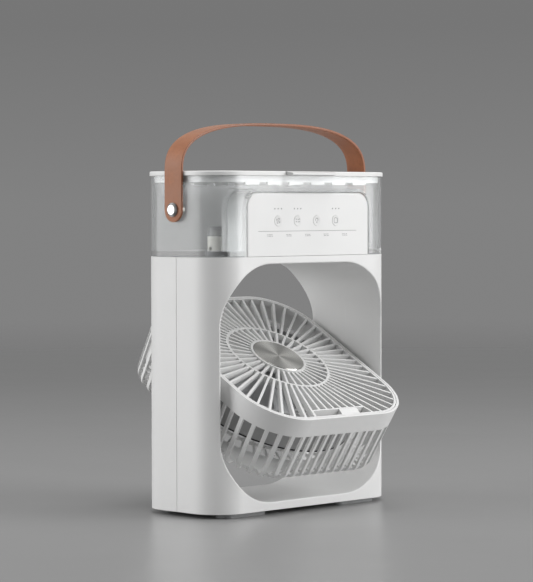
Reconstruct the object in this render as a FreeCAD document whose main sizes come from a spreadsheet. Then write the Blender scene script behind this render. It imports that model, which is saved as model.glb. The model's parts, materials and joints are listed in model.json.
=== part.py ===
import FreeCAD, Part
import math
import os

import Sketcher
from FreeCAD import Placement, Rotation, Vector

# Tabletop evaporative fan: a rounded rectangular housing with a large through window, a clear water tank
# with a push-button panel on top of it, a carrying strap, and a tilting fan head in the window.
# Frame: +Z up, +X to the right as seen from the front, the front faces -Y. The origin is on the surface
# that the feet stand on, under the centre of the housing. Millimetres.

DIMENSIONS = {
    # housing
    "body_width": 200, "body_depth": 90, "body_corner": 27, "body_bottom": 3.5, "body_top": 199.2,
    "shell_wall": 2.2, "window_width": 179.2, "window_bottom": 10, "window_top": 193.5, "window_corner": 48,
    "edge_round": 1, "seam_width": 0.5, "seam_depth": 0.5,
    "screw_column": 80, "screw_low": 17, "screw_high": 187, "screw_boss": 3.6, "screw_shank": 1.25,
    "screw_head": 2.7, "screw_head_height": 1.8, "screw_length": 15,
    "foot_length": 44, "foot_width": 16, "foot_corner": 6, "foot_x": 61.5, "foot_y": 30.5,
    "socket_x": 69, "socket_level": 10.4, "socket_width": 9, "socket_height": 3.4, "socket_depth": 7.5,
    # water tank and lid
    "tank_bottom": 199.8, "tank_top": 261.4, "tank_wall": 2.5, "tank_floor": 4,
    "gasket_inset": 1.2, "gasket_width": 4,
    "lid_bottom": 261.6, "lid_top": 265, "lid_overhang": 1, "lid_round": 1.1, "skirt_gap": 0.4,
    "skirt_wall": 1.6, "skirt_depth": 5.2, "lug_length": 15, "lug_pitch": 24, "lug_height": 1.9,
    "seal_level": 257.6, "seal_height": 2.2,
    "flap_width": 53, "flap_rear": 2, "flap_thickness": 2.3, "flap_gap": 0.3, "flap_lip": 6,
    "filler_width": 40, "filler_front": 37, "filler_rear": 7, "filler_pad_bottom": 259.8,
    "hinge_barrel": 1.5, "hinge_pin": 0.9, "hinge_pin_length": 3, "fit_gap": 0.06,
    # control box in the front of the tank
    "panel_width": 136, "panel_bottom": 199.4, "panel_top": 248.3, "panel_corner": 11.5,
    "panel_depth": 21, "panel_wall": 2, "recess_gap": 0.9,
    "button_radius": 4, "button_pitch": 21.5, "button_level": 226.6, "button_proud": 0.2,
    "button_gap": 0.1, "button_shift": -2.2, "button_flange": 5, "light_level": 236, "light_pitch": 3.6,
    "light_radius": 0.5,
    "board_width": 116, "board_low": 213, "board_high": 243, "board_front": 37.6, "board_thickness": 1.4,
    # wicks and mist outlets
    "wick_x": 48, "wick_y": 8, "wick_radius": 3.4, "wick_top": 219, "cup_radius": 8.2, "cup_top": 214.5,
    "cup_bore": 6.2, "cap_top": 222.4, "disc_radius": 6, "disc_thickness": 0.7, "disc_level": 200.9,
    "nozzle_radius": 4.5, "nozzle_bore": 2.6,
    # carrying strap
    "rivet_level": 235.4, "leg_top": 252, "strap_width": 19.0, "strap_thickness": 2.0, "strap_inner": 101.3,
    "arch_level": 263.5, "arch_height": 37.6, "arch_power": 2.75,
    "post_radius": 2.4, "rivet_radius": 5.4, "rivet_height": 1.9, "strap_play": 0.3, "washer_radius": 6,
    # fan head, in its own frame: origin on the tilt axis, +Z out of the grille, +Y towards its upper edge
    "tilt_level": 101, "tilt_angle": 30, "head_width": 165, "head_height": 176, "head_corner": 43,
    "head_front": 21.5, "head_depth": 58.5, "head_draft": 2.5, "head_wall": 2, "head_rear_round": 8,
    "band_depth": 16.2, "slot_bar": 2.6, "slot_bar_corner": 3.3, "slot_reach": 14, "slots_across": 9,
    "slots_up": 10,     "slots_corner": 6,
    "rib_thickness": 1.9, "rib_depth": 5, "rib_recess": 0.5, "rim_width": 2, "rim_gap": 0.2,
    "hub_ring": 23.4, "cap_radius": 21.2, "mid_ring": 43.8, "ring_width": 2,
    "outer_ribs": 60, "inner_ribs": 36, "pocket_width": 58.8, "pocket_height": 7.9, "pocket_depth": 9,
    "latch_width": 20, "latch_offset": 10.5, "latch_drop": 2.6, "rear_window": 64,
    "rear_ring": 46, "rear_hub": 22,     "rear_ribs": 36, "rear_rib": 1.8,
    "duct_radius": 74, "duct_wall": 1.6, "duct_front": 11, "duct_rear": 18,
    "motor_radius": 17, "motor_front": 13, "shaft_radius": 1.5,
    "impeller_radius": 71.5, "impeller_hub": 31, "impeller_front": 11, "impeller_rear": 10, "blades": 7,
    "blade_thickness": 1.6,
    "pin_radius": 4, "pin_flange": 9, "pin_end": 95, "boss_radius": 12, "bush_radius": 7.5,
}

doc = FreeCAD.newDocument("desk_fan")
sheet = doc.addObject("Spreadsheet::Sheet", "sizes")


class Size:
    """A dimension: its expression for the document and its number for this script."""

    def __init__(self, text, number):
        self.text = text
        self.number = number

    def __add__(self, other):
        return Size(f"({self.text} + {text_of(other)})", self.number + number_of(other))

    def __radd__(self, other):
        return Size(f"({text_of(other)} + {self.text})", number_of(other) + self.number)

    def __sub__(self, other):
        return Size(f"({self.text} - {text_of(other)})", self.number - number_of(other))

    def __rsub__(self, other):
        return Size(f"({text_of(other)} - {self.text})", number_of(other) - self.number)

    def __mul__(self, other):
        return Size(f"({self.text} * {text_of(other)})", self.number * number_of(other))

    __rmul__ = __mul__

    def __truediv__(self, other):
        return Size(f"({self.text} / {text_of(other)})", self.number / number_of(other))

    def __neg__(self):
        return Size(f"(0 - {self.text})", -self.number)


def text_of(value):
    return value.text if isinstance(value, Size) else f"{value:g}"


def number_of(value):
    return value.number if isinstance(value, Size) else float(value)


class Dimensions:
    """The sheet's cells, each one read as a Size by its alias."""

    def __init__(self, table):
        for row, (alias, value) in enumerate(table.items(), start=1):
            sheet.set(f"A{row}", alias)
            sheet.set(f"B{row}", str(value))
            sheet.setAlias(f"B{row}", alias)
            setattr(self, alias, Size(f"sizes.{alias}", float(value)))


d = Dimensions(DIMENSIONS)
doc.recompute()
subparts = []


def bind(thing, **sizes):
    """Ties properties to the sheet. A double underscore in a name stands for a dot."""
    for path, size in sizes.items():
        thing.setExpression(path.replace("__", "."), text_of(size))


def keep(thing, label, placement=None):
    """Makes an object one of the exported sub-parts."""
    thing.Label = label
    if placement is not None:
        thing.Placement = placement
    subparts.append(thing)
    return thing


def box(name, x, y, z):
    """A block between two corners, each of x, y and z a (low, high) pair."""
    block = doc.addObject("Part::Box", name)
    bind(block, Length=x[1] - x[0], Width=y[1] - y[0], Height=z[1] - z[0])
    bind(block, Placement__Base__x=x[0], Placement__Base__y=y[0], Placement__Base__z=z[0])
    return block


AXIS_TURN = {
    "X": Rotation(Vector(0, 1, 0), 90),
    "Y": Rotation(Vector(1, 0, 0), -90),
    "Z": Rotation(),
}


def place(thing, start, axis):
    thing.Placement = Placement(Vector(0, 0, 0), AXIS_TURN[axis])
    bind(thing, Placement__Base__x=start[0], Placement__Base__y=start[1], Placement__Base__z=start[2])


def rod(name, radius, start, length, axis="Z"):
    """A cylinder that starts at a point and runs along +X, +Y or +Z."""
    cylinder = doc.addObject("Part::Cylinder", name)
    bind(cylinder, Radius=radius, Height=length)
    place(cylinder, start, axis)
    return cylinder


def taper(name, radius_start, radius_end, start, length, axis="Z"):
    cone = doc.addObject("Part::Cone", name)
    bind(cone, Radius1=radius_start, Radius2=radius_end, Height=length)
    place(cone, start, axis)
    return cone


def fuse(name, *shapes):
    union = doc.addObject("Part::MultiFuse", name)
    union.Shapes = list(shapes)
    return union


def cut(name, base, *tools):
    """The base less every tool."""
    result = doc.addObject("Part::Cut", name)
    result.Base = base
    result.Tool = tools[0] if len(tools) == 1 else fuse(name + "_tools", *tools)
    return result


def common(name, first, second):
    overlap = doc.addObject("Part::Common", name)
    overlap.Base = first
    overlap.Tool = second
    return overlap


def tube(name, outer, inner, start, length, axis="Z"):
    solid = rod(name + "_outer", outer, start, length, axis)
    bore = rod(name + "_bore", inner, start, length, axis)
    return cut(name, solid, bore)


def copy_of(name, shape):
    """A plain feature that holds a shape worked out by this script."""
    feature = doc.addObject("Part::Feature", name)
    feature.Shape = shape
    return feature


def origin_plane(body, role):
    return next(item for item in body.Origin.OriginFeatures if item.Role == role)


def sketch_on(body, name, plane, low, high, centre):
    """A sketch on one of the body's planes, where a pad to its normal's side fills low to high."""
    sketch = body.newObject("Sketcher::SketchObject", name)
    sketch.AttachmentSupport = [(origin_plane(body, plane + "_Plane"), "")]
    sketch.MapMode = "FlatFace"
    offset = -high if plane == "XZ" else low
    bind(sketch, AttachmentOffset__Base__x=centre[0], AttachmentOffset__Base__y=centre[1])
    bind(sketch, AttachmentOffset__Base__z=offset)
    return sketch


def draw_rounded_rectangle(sketch, width, height, radius):
    """Centred on the sketch's origin. Its width, height and radius are bound to the sheet."""
    half_w = number_of(width) / 2
    half_h = number_of(height) / 2
    r = number_of(radius)
    normal = Vector(0, 0, 1)
    corners = [(half_w - r, r - half_h, -90), (half_w - r, half_h - r, 0), (r - half_w, half_h - r, 90),
               (r - half_w, r - half_h, 180)]
    runs = [((r - half_w, -half_h), (half_w - r, -half_h)), ((half_w, r - half_h), (half_w, half_h - r)),
            ((half_w - r, half_h), (r - half_w, half_h)), ((-half_w, half_h - r), (-half_w, r - half_h))]
    for (start, end), (x, y, angle) in zip(runs, corners):
        sketch.addGeometry(Part.LineSegment(Vector(*start, 0), Vector(*end, 0)), False)
        circle = Part.Circle(Vector(x, y, 0), normal, r)
        arc = Part.ArcOfCircle(circle, math.radians(angle), math.radians(angle + 90))
        sketch.addGeometry(arc, False)
    for item in range(8):
        sketch.addConstraint(Sketcher.Constraint("Tangent", item, 2, (item + 1) % 8, 1))
    for line, direction in ((0, "Horizontal"), (2, "Vertical"), (4, "Horizontal"), (6, "Vertical")):
        sketch.addConstraint(Sketcher.Constraint(direction, line))
    for arc in (3, 5, 7):
        sketch.addConstraint(Sketcher.Constraint("Equal", 1, arc))
    sketch.addConstraint(Sketcher.Constraint("Symmetric", 1, 3, 5, 3, -1, 1))
    across = sketch.addConstraint(Sketcher.Constraint("DistanceX", 6, 1, 2, 1, 2 * half_w))
    up = sketch.addConstraint(Sketcher.Constraint("DistanceY", 0, 1, 4, 1, 2 * half_h))
    corner = sketch.addConstraint(Sketcher.Constraint("Radius", 1, r))
    for index, size in ((across, width), (up, height), (corner, radius)):
        sketch.setExpression(f"Constraints[{index}]", text_of(size))


def rounded_prism(name, width, height, radius, low, high, plane="XY", centre=(0, 0), draft=None):
    """A rounded rectangle padded from low to high along the plane's normal."""
    body = doc.addObject("PartDesign::Body", name)
    sketch = sketch_on(body, name + "_outline", plane, low, high, centre)
    draw_rounded_rectangle(sketch, width, height, radius)
    pad = body.newObject("PartDesign::Pad", name + "_pad")
    pad.Profile = sketch
    bind(pad, Length=high - low)
    if draft is not None:
        bind(pad, TaperAngle=draft)
    doc.recompute()
    return body


def round_edges(body, name, radius, wanted):
    """Rounds those edges of a body whose vertices all pass a test."""
    tip = body.Tip
    edges = [f"Edge{number}" for number, edge in enumerate(tip.Shape.Edges, start=1)
             if all(wanted(vertex.Point) for vertex in edge.Vertexes)]
    rounding = body.newObject("PartDesign::Fillet", name)
    rounding.Base = (tip, edges)
    bind(rounding, Radius=radius)
    doc.recompute()
    return body


# ---------------------------------------------------------------- housing


def plan_prism(name, inset, low, high):
    """The housing's plan outline, drawn in by an inset all round."""
    return rounded_prism(name, d.body_width - 2 * inset, d.body_depth - 2 * inset, d.body_corner - inset,
                         low, high)


def window_prism(name, grow, reach):
    """The window's outline, grown all round and run through the housing from front to back."""
    middle = (d.window_top + d.window_bottom) / 2
    return rounded_prism(name, d.window_width + 2 * grow, d.window_top - d.window_bottom + 2 * grow,
                         d.window_corner + grow, -reach, reach, "XZ", (0, middle))


def on_window_edge(point):
    """True on the window's outline, front or rear, where it meets the housing's skin."""
    across = abs(point.x) - (d.window_width / 2 - d.window_corner).number
    middle = (d.window_top + d.window_bottom).number / 2
    up = abs(point.z - middle) - (d.window_top - d.window_bottom).number / 2 + d.window_corner.number
    reach = math.hypot(max(across, 0), max(up, 0))
    return abs(reach - d.window_corner.number) < 0.01 and abs(point.y) > 1


def round_window(name, pierced):
    """Rounds the window's outer edge in one half of the housing."""
    doc.recompute()
    edges = []
    for number, edge in enumerate(pierced.Shape.Edges, start=1):
        low, high = edge.ParameterRange
        samples = [edge.valueAt(low + (high - low) * step / 4) for step in range(5)]
        if all(on_window_edge(point) for point in samples):
            edges.append((number, d.edge_round.number, d.edge_round.number))
    rounding = doc.addObject("Part::Fillet", name)
    rounding.Base = pierced
    rounding.Edges = edges
    doc.recompute()
    return rounding


def screw_places():
    return [(side * d.screw_column, level) for side in (-1, 1) for level in (d.screw_low, d.screw_high)]


def build_housing():
    half = d.body_depth / 2
    full = (-d.body_width, d.body_width)
    tall = (d.body_bottom - 1, d.body_top + 1)
    rear_edge = plan_prism("housing_outline", Size("0", 0), d.body_bottom, d.body_top)
    window = window_prism("window", Size("0", 0), half + 5)
    core = plan_prism("housing_core", d.shell_wall, d.body_bottom + d.shell_wall, d.body_top - d.shell_wall)
    lining = window_prism("window_lining", d.shell_wall, half + 5)
    hollow = cut("housing_hollow", core, lining)
    seam_outer = plan_prism("seam_outer", Size("-1", -1), d.body_bottom - 1, d.body_top + 1)
    seam_inner = plan_prism("seam_inner", d.seam_depth, d.body_bottom, d.body_top + 1)
    seam_ring = cut("seam_ring", seam_outer, seam_inner)
    seam_slice = box("seam_slice", full, (-d.seam_width / 2, d.seam_width / 2), tall)
    seam = common("seam", seam_ring, seam_slice)
    bush_x = d.window_width / 2
    for name, side in (("front_housing", -1), ("rear_housing", 1)):
        reach = (-half - 1, 0) if side < 0 else (0, half + 1)
        slab = box(name + "_slab", full, reach, tall)
        pierced = cut(name + "_pierced", common(name + "_half", rear_edge, slab), window)
        shell = cut(name + "_shell", round_window(name + "_rounded", pierced), hollow)
        additions = [shell]
        removals = [seam]
        for sign, word in ((-1, "left"), (1, "right")):
            start = sign * bush_x if sign > 0 else -(d.body_width / 2 - d.shell_wall)
            length = d.body_width / 2 - d.shell_wall - bush_x
            seat = rod(f"{name}_seat_{word}", d.bush_radius + 4, (start, 0, d.tilt_level), length, "X")
            additions.append(common(f"{name}_seat_{word}_half", seat, slab))
            bore_length = d.pin_end + 1.5 - bush_x
            bore_start = bush_x - 1 if sign > 0 else -(d.pin_end + 1.5)
            removals.append(rod(f"{name}_bush_bore_{word}", d.bush_radius, (bore_start, 0, d.tilt_level),
                                bore_length + 1, "X"))
        for index, (x, z) in enumerate(screw_places()):
            boss_length = half - d.shell_wall - 0.5
            boss_start = -boss_length if side < 0 else 0
            additions.append(rod(f"{name}_boss_{index}", d.screw_boss, (x, boss_start, z), boss_length, "Y"))
            if side < 0:
                removals.append(rod(f"{name}_pilot_{index}", d.screw_shank, (x, -8, z), 9, "Y"))
            else:
                removals.append(rod(f"{name}_pass_{index}", d.screw_shank + 0.2, (x, -1, z), half + 2, "Y"))
                well_start = d.screw_length - 8
                removals.append(rod(f"{name}_well_{index}", d.screw_head + 0.15, (x, well_start, z), half, "Y"))
        if side > 0:
            x = d.socket_x
            removals.append(box("socket_slot", (x - d.socket_width / 2, x + d.socket_width / 2),
                                (half - d.socket_depth, half + 1),
                                (d.socket_level - d.socket_height / 2, d.socket_level + d.socket_height / 2)))
            for sign in (-1, 1):
                removals.append(rod(f"nozzle_hole_{sign + 1}", d.nozzle_radius,
                                    (sign * d.wick_x, d.wick_y, d.window_top - 4), 12))
        whole = fuse(name + "_whole", *additions)
        keep(cut(name + "_part", whole, *removals), name)


def build_screws():
    screws = []
    for index, (x, z) in enumerate(screw_places()):
        shank = rod(f"screw_shank_{index}", d.screw_shank, (x, -7, z), d.screw_length, "Y")
        head = rod(f"screw_head_{index}", d.screw_head, (x, d.screw_length - 8, z), d.screw_head_height, "Y")
        slot_depth = d.screw_length - 8 + d.screw_head_height - 0.7
        cross = [box(f"screw_cross_{index}_{turn}",
                     (x - 1.6 + turn * 1.3, x + 1.6 - turn * 1.3), (slot_depth, slot_depth + 1),
                     (z - 0.3 - turn * 1.3, z + 0.3 + turn * 1.3)) for turn in (0, 1)]
        screws.append(cut(f"screw_{index}", fuse(f"screw_blank_{index}", shank, head), *cross))
    group = doc.addObject("Part::Compound", "screw_group")
    group.Links = screws
    keep(group, "housing_screws")


def build_feet():
    for y_word, y_sign in (("front", -1), ("rear", 1)):
        for x_word, x_sign in (("left", -1), ("right", 1)):
            name = f"foot_{y_word}_{x_word}"
            foot = rounded_prism(name + "_pad", d.foot_length, d.foot_width, d.foot_corner, Size("0", 0),
                                 d.body_bottom, "XY", (x_sign * d.foot_x, y_sign * d.foot_y))
            keep(foot, name)


def build_socket():
    half = d.body_depth / 2
    gap = 0.1
    wide = d.socket_width / 2 - gap
    tall = d.socket_height / 2 - gap
    shell = rounded_prism("socket_shell", 2 * wide, 2 * tall, Size("1.5", 1.5), half - d.socket_depth + 0.2,
                          half - 0.4, "XZ", (d.socket_x, d.socket_level))
    mouth = rounded_prism("socket_mouth", 2 * wide - 0.7, 2 * tall - 0.7, Size("1.15", 1.15),
                          half - d.socket_depth + 1.4, half + 1, "XZ", (d.socket_x, d.socket_level))
    tongue = box("socket_tongue", (d.socket_x - 3.2, d.socket_x + 3.2), (half - d.socket_depth + 1, half - 1.4),
                 (d.socket_level - 0.35, d.socket_level + 0.35))
    keep(fuse("socket_body", cut("socket_can", shell, mouth), tongue), "usb_socket")


# ---------------------------------------------------------------- tank, lid and strap


def recess_prism(name, grow, rear, low):
    """The pocket for the control box, grown sideways and up, open at the front."""
    width = d.panel_width + 2 * grow
    high = d.panel_top + grow
    return rounded_prism(name, width, high - low, d.panel_corner + grow, -d.body_depth / 2 - 1, -rear, "XZ",
                         (0, (high + low) / 2))


def build_tank():
    front = d.body_depth / 2
    rear = front - d.panel_depth - d.recess_gap
    outer = plan_prism("tank_outer", Size("0", 0), d.tank_bottom, d.tank_top)
    low = d.tank_bottom - 30
    recess = recess_prism("tank_recess", d.recess_gap, rear, low)
    recess_wall = recess_prism("tank_recess_wall", d.recess_gap + d.tank_wall, rear - d.tank_wall, low)
    inner = plan_prism("tank_inner", d.tank_wall, d.tank_bottom + d.tank_floor, d.tank_top + 1)
    water_space = cut("water_space", inner, recess_wall)
    holes = [rod(f"outlet_hole_{sign + 1}", d.cup_radius - 1,
                 (sign * d.wick_x, d.wick_y, d.tank_bottom - 1), d.tank_floor + 2)
             for sign in (-1, 1)]
    post_hole = rod("post_hole", d.post_radius, (-d.body_width, 0, d.rivet_level), 2 * d.body_width, "X")
    tank = cut("tank_solid", outer, recess, water_space, post_hole, *holes)
    keep(tank, "water_tank")
    gasket_outer = plan_prism("gasket_outer", d.gasket_inset, d.body_top, d.tank_bottom)
    gasket_inner = plan_prism("gasket_inner", d.gasket_inset + d.gasket_width, d.body_top - 1,
                              d.tank_bottom + 1)
    notch = box("gasket_notch", (-d.panel_width / 2 - 1, d.panel_width / 2 + 1), (-front - 1, -rear + 1),
                (d.body_top - 1, d.tank_bottom + 1))
    keep(cut("gasket_ring", gasket_outer, gasket_inner, notch), "tank_gasket")


def build_lid():
    inset = d.tank_wall + d.skirt_gap
    front = d.body_depth / 2
    plate = plan_prism("lid_plate", -d.lid_overhang, d.lid_bottom, d.lid_top)
    top = d.lid_top.number
    round_edges(plate, "lid_rounding", d.lid_round, lambda point: abs(point.z - top) < 0.01)
    skirt = cut("lid_skirt", plan_prism("skirt_outer", inset, d.lid_bottom - d.skirt_depth, d.lid_bottom),
                plan_prism("skirt_inner", inset + d.skirt_wall, d.lid_bottom - d.skirt_depth - 1, d.lid_bottom))
    groove_outer = plan_prism("groove_outer", inset - 1, d.seal_level, d.seal_level + d.seal_height)
    groove_inner = plan_prism("groove_inner", inset + 0.8, d.seal_level - 1, d.seal_level + d.seal_height + 1)
    groove = cut("seal_groove", groove_outer, groove_inner)
    lugs = []
    low = d.lid_bottom - d.skirt_depth - d.lug_height
    for index in range(6):
        middle = (index - 2.5) * d.lug_pitch
        for word, y in (("front", -front + inset), ("rear", front - inset - d.skirt_wall)):
            lugs.append(box(f"lug_{word}_{index}", (middle - d.lug_length / 2, middle + d.lug_length / 2),
                            (y, y + d.skirt_wall), (low, low + d.lug_height + 0.2)))
    pad = box("filler_pad", (-d.flap_width / 2 - 3, d.flap_width / 2 + 3),
              (-front + inset + 0.5, d.flap_rear + 5),
              (d.filler_pad_bottom, d.lid_bottom))
    gap = d.flap_gap
    seat_floor = d.lid_top - d.flap_thickness - 0.1
    half_flap = d.flap_width / 2
    seat = box("flap_seat", (-half_flap - gap, half_flap + gap), (-front - 5, d.flap_rear),
               (seat_floor, d.lid_top + 1))
    barrel_z = d.lid_top - d.hinge_barrel - 0.1
    trough = box("hinge_trough", (-half_flap - gap, half_flap + gap),
                 (d.flap_rear - d.hinge_barrel - 0.6, d.flap_rear + d.hinge_barrel + gap),
                 (barrel_z - d.hinge_barrel - gap, d.lid_top + 1))
    hole = box("filler_hole", (-d.filler_width / 2, d.filler_width / 2), (-d.filler_front, -d.filler_rear),
               (d.filler_pad_bottom - 1, d.lid_top))
    reach = half_flap + d.hinge_pin_length + 0.4
    pin_bore = rod("hinge_bore", d.hinge_pin + d.fit_gap, (-reach, d.flap_rear, barrel_z), 2 * reach, "X")
    blank = fuse("lid_blank", plate, skirt, pad, *lugs)
    keep(cut("lid_part", blank, groove, seat, trough, hole, pin_bore), "tank_lid")
    seal_outer = plan_prism("seal_outer", inset - 0.25, d.seal_level, d.seal_level + d.seal_height)
    seal_inner = plan_prism("seal_inner", inset + 0.8, d.seal_level - 1, d.seal_level + d.seal_height + 1)
    valley = cut("seal_valley", plan_prism("valley_outer", inset - 1, d.seal_level + 0.8, d.seal_level + 1.4),
                 plan_prism("valley_inner", inset + 0.2, d.seal_level, d.seal_level + 2))
    keep(cut("seal_ring", seal_outer, seal_inner, valley), "lid_seal")


def build_flap():
    front = d.body_depth / 2 + d.lid_overhang
    half_flap = d.flap_width / 2
    bottom = d.lid_top - d.flap_thickness
    barrel_z = d.lid_top - d.hinge_barrel - 0.1
    plate = box("flap_plate", (-half_flap, half_flap), (-front, d.flap_rear), (bottom, d.lid_top))
    lip = doc.addObject("Part::Wedge", "flap_lip_wedge")
    bind(lip, Xmin=-half_flap, Xmax=half_flap, Ymin=Size("0", 0), Ymax=d.flap_lip, Zmin=Size("0", 0),
         Zmax=d.flap_thickness + 0.8)
    bind(lip, X2min=-half_flap + 1.5, X2max=half_flap - 1.5, Z2min=Size("0.3", 0.3), Z2max=d.flap_thickness - 0.6)
    lip.Placement = Placement(Vector(0, 0, 0), Rotation(Vector(0, 0, 1), 180))
    bind(lip, Placement__Base__y=-front, Placement__Base__z=bottom - 0.8)
    barrel = rod("flap_barrel", d.hinge_barrel, (-half_flap, d.flap_rear, barrel_z), d.flap_width, "X")
    reach = half_flap + d.hinge_pin_length
    pins = rod("flap_pins", d.hinge_pin, (-reach, d.flap_rear, barrel_z), 2 * reach, "X")
    keep(fuse("flap_part", plate, lip, barrel, pins), "filler_flap")
    wide = d.filler_width / 2 - 0.8
    outer = box("plug_outer", (-wide, wide), (-d.filler_front + 0.8, -d.filler_rear - 0.8),
                (bottom - 1.4, bottom))
    inner = box("plug_inner", (-wide + 1.6, wide - 1.6), (-d.filler_front + 2.4, -d.filler_rear - 2.4),
                (bottom - 2, bottom + 1))
    keep(cut("plug_ring", outer, inner), "flap_seal")


def arch_point(inner, height, angle):
    """A point of the strap's superellipse arch, angle 0 on the right and 180 on the left."""
    power = 2 / d.arch_power.number
    across = math.copysign(abs(math.cos(angle)) ** power, math.cos(angle))
    return Vector(inner * across, 0, d.arch_level.number + height * abs(math.sin(angle)) ** power)


def strap_outline(inner, height):
    """One face of the arch and the tops of its legs, as a curve in the XZ plane."""
    joint = d.leg_top.number
    spring = d.arch_level.number
    count = 24
    leg = [joint, joint + (spring - joint) / 3, joint + (spring - joint) * 2 / 3]
    points = [Vector(inner, 0, level) for level in leg]
    points += [arch_point(inner, height, math.pi * step / count) for step in range(count + 1)]
    points += [Vector(-inner, 0, level) for level in reversed(leg)]
    arch = Part.BSplineCurve()
    arch.interpolate(points)
    return arch


def strap_leg(side):
    """A flat leg with a round end about its rivet."""
    half = d.strap_width.number / 2
    level = d.rivet_level.number
    top = d.leg_top.number
    x = min(side * d.strap_inner.number, side * (d.strap_inner + d.strap_thickness).number)
    tip = Part.Arc(Vector(x, half, level), Vector(x, 0, level - half), Vector(x, -half, level))
    corners = [Vector(x, -half, level), Vector(x, -half, top), Vector(x, half, top), Vector(x, half, level)]
    lines = [Part.LineSegment(start, end).toShape() for start, end in zip(corners, corners[1:])]
    face = Part.Face(Part.Wire([tip.toShape(), *lines]))
    return face.extrude(Vector(d.strap_thickness.number, 0, 0))


def build_strap():
    width = d.strap_width.number
    thickness = d.strap_thickness.number
    inner = d.strap_inner.number
    joint = d.leg_top.number
    inside = strap_outline(inner, d.arch_height.number)
    outside = strap_outline(inner + thickness, d.arch_height.number + thickness)
    ends = [Part.LineSegment(Vector(side * inner, 0, joint), Vector(side * (inner + thickness), 0, joint))
            for side in (-1, 1)]
    wire = Part.Wire(Part.__sortEdges__([curve.toShape() for curve in (inside, outside, *ends)]))
    band = Part.Face(wire).extrude(Vector(0, width, 0))
    band.translate(Vector(0, -width / 2, 0))
    pieces = [copy_of("strap_arch", band), copy_of("strap_leg_left", strap_leg(-1)),
              copy_of("strap_leg_right", strap_leg(1))]
    span = d.strap_inner + 20
    hole = rod("strap_hole", d.post_radius + d.fit_gap, (-span, 0, d.rivet_level), 2 * span, "X")
    keep(cut("strap_part", fuse("strap_band", *pieces), hole), "handle_strap")


def build_rivets():
    half = d.body_width / 2
    outer_face = d.strap_inner + d.strap_thickness + d.strap_play
    inside = half - d.tank_wall
    for word, sign in (("left", -1), ("right", 1)):
        def along(low, high):
            return (low, high - low) if sign > 0 else (-high, high - low)
        level = d.rivet_level
        start, length = along(inside - 2.4, outer_face)
        post = rod(f"rivet_post_{word}", d.post_radius, (start, 0, level), length, "X")
        start, length = along(outer_face, outer_face + 0.8)
        rim = rod(f"rivet_rim_{word}", d.rivet_radius, (start, 0, level), length, "X")
        start, length = along(outer_face + 0.8, outer_face + d.rivet_height)
        radii = (d.rivet_radius, d.rivet_radius - 1.8) if sign > 0 else (d.rivet_radius - 1.8, d.rivet_radius)
        dome = taper(f"rivet_dome_{word}", *radii, (start, 0, level), length, "X")
        keep(fuse(f"rivet_solid_{word}", post, rim, dome), f"rivet_{word}")
        start, length = along(half, d.strap_inner - d.strap_play)
        keep(tube(f"washer_{word}", d.washer_radius, d.post_radius, (start, 0, level), length, "X"),
             f"strap_washer_{word}")
        start, length = along(inside - 2, inside)
        keep(tube(f"nut_{word}", d.washer_radius - 0.5, d.post_radius, (start, 0, level), length, "X"),
             f"rivet_nut_{word}")


# ---------------------------------------------------------------- control box


BUTTONS = (("fan", -1.5), ("mist", -0.5), ("lamp", 0.5), ("timer", 1.5))
LIT_BUTTONS = (-1.5, -0.5, 1.5)


def button_column(at):
    """The x of a button, counted in pitches from the middle of the row."""
    return d.button_shift + at * d.button_pitch


def light_places():
    return [button_column(at) + dot * d.light_pitch for at in LIT_BUTTONS for dot in (-1, 0, 1)]


def build_control_box():
    front = d.body_depth / 2
    rear = front - d.panel_depth
    height = d.panel_top - d.panel_bottom
    middle = (d.panel_top + d.panel_bottom) / 2
    wall = d.panel_wall
    # The outline is twice as tall below, so that only its upper corners are round after the trim.
    tall = 2 * height
    low_middle = middle - height / 2
    block = rounded_prism("panel_block", d.panel_width, tall, d.panel_corner, -front, -rear, "XZ", (0, low_middle))
    front_y = -front.number
    round_edges(block, "panel_rounding", Size("1.4", 1.4), lambda point: abs(point.y - front_y) < 0.01)
    hollow = rounded_prism("panel_hollow", d.panel_width - 2 * wall, tall - 2 * wall, d.panel_corner - wall,
                           -front + wall, -rear + 1, "XZ", (0, low_middle))
    below = box("panel_below", (-d.body_width, d.body_width), (-d.body_depth, d.body_depth),
                (d.panel_bottom - tall, d.panel_bottom))
    shell = cut("panel_shell", block, hollow, below)
    floor = box("panel_floor", (-d.panel_width / 2, d.panel_width / 2), (-front + 1.2, -rear),
                (d.panel_bottom, d.panel_bottom + 1.2))
    back_tabs = [box(f"panel_back_{sign + 1}", (sign * 50 - 8, sign * 50 + 8), (-rear - 1.5, -rear),
                     (d.panel_bottom, d.panel_top - wall)) for sign in (-1, 1)]
    holes = [rod(f"button_hole_{name}", d.button_radius + d.button_gap,
                 (button_column(at), -front - 1, d.button_level), 4, "Y") for name, at in BUTTONS]
    pipes = [rod(f"light_hole_{index}", d.light_radius, (x, -front - 1, d.light_level), 4, "Y")
             for index, x in enumerate(light_places())]
    whole = fuse("panel_whole", shell, floor, *back_tabs)
    keep(cut("panel_part", whole, *holes, *pipes), "control_box")
    dots = doc.addObject("Part::Compound", "light_group")
    dots.Links = [rod(f"light_{index}", d.light_radius, (x, -front + 0.05, d.light_level), 5.8, "Y")
                  for index, x in enumerate(light_places())]
    keep(dots, "indicator_lights")


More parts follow.
